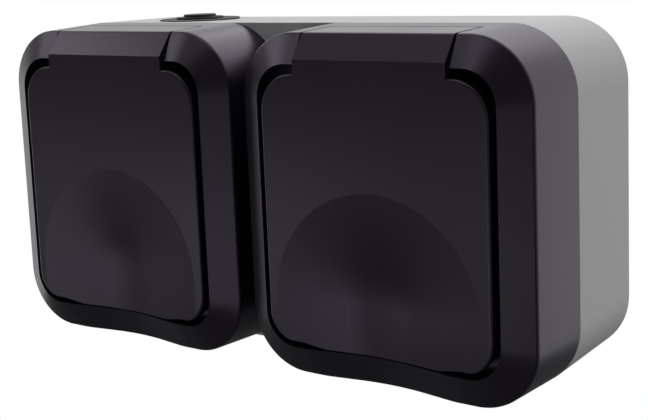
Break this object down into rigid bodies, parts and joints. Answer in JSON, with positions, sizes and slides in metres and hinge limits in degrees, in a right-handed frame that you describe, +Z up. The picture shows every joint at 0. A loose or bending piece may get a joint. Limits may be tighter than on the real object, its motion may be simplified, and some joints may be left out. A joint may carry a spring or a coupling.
{
  "type": "outdoor weatherproof socket",
  "caption": "Surface-mounted weatherproof power socket: light grey back box with a cable grommet, black bevelled covers side by side and sprung hinged lids over recessed earthed outlets.",
  "frame": {"origin": "centre of the back box's wall face", "axes": "+X to the right as seen from the front, +Y into the wall, +Z up"},
  "size_m": [0.1632, 0.0547, 0.0871],
  "materials": {
    "box_plastic": "fine satin moulding",
    "cover_plastic": "fine satin moulding",
    "lid_plastic": "smooth satin moulding",
    "grommet_rubber": "soft matt",
    "seal_rubber": "soft matt",
    "pin_steel": "drawn wire",
    "screw_steel": "zinc plated",
    "strap_steel": "stamped sheet",
    "contact_brass": "stamped and bright",
    "insert_plastic": "satin moulding",
    "base_plastic": "matt moulding"
  },
  "bodies": {
    "housing": {"back_box": "box_plastic", "cable_grommet": "grommet_rubber", "left_front_cover": "cover_plastic", "left_cover_gasket": "seal_rubber", "left_cover_screws": "screw_steel", "left_hinge_pin": "pin_steel", "left_lid_spring": "pin_steel", "left_socket_insert": "insert_plastic", "left_insert_screw": "screw_steel", "left_socket_base": "base_plastic", "left_base_screws": "screw_steel", "left_line_contact": "contact_brass", "left_neutral_contact": "contact_brass", "left_earth_strap": "strap_steel", "left_terminal_screws": "screw_steel", "right_front_cover": "cover_plastic", "right_cover_gasket": "seal_rubber", "right_cover_screws": "screw_steel", "right_hinge_pin": "pin_steel", "right_lid_spring": "pin_steel", "right_socket_insert": "insert_plastic", "right_insert_screw": "screw_steel", "right_socket_base": "base_plastic", "right_base_screws": "screw_steel", "right_line_contact": "contact_brass", "right_neutral_contact": "contact_brass", "right_earth_strap": "strap_steel", "right_terminal_screws": "screw_steel"},
    "left_lid": {"left_lid": "lid_plastic", "left_lid_gasket": "seal_rubber"},
    "right_lid": {"right_lid": "lid_plastic", "right_lid_gasket": "seal_rubber"}
  },
  "joints": [
    {"name": "left_lid_hinge", "type": "hinge", "parent": "housing", "child": "left_lid", "pos_m": [-0.0415, -0.044, 0.0366], "axis": [-1, 0, 0], "range_deg": [0, 105], "stiffness_Nm_per_rad": 0.02, "springref_deg": -11.46},
    {"name": "right_lid_hinge", "type": "hinge", "parent": "housing", "child": "right_lid", "pos_m": [0.0415, -0.044, 0.0366], "axis": [-1, 0, 0], "range_deg": [0, 105], "stiffness_Nm_per_rad": 0.02, "springref_deg": -11.46}
  ]
}
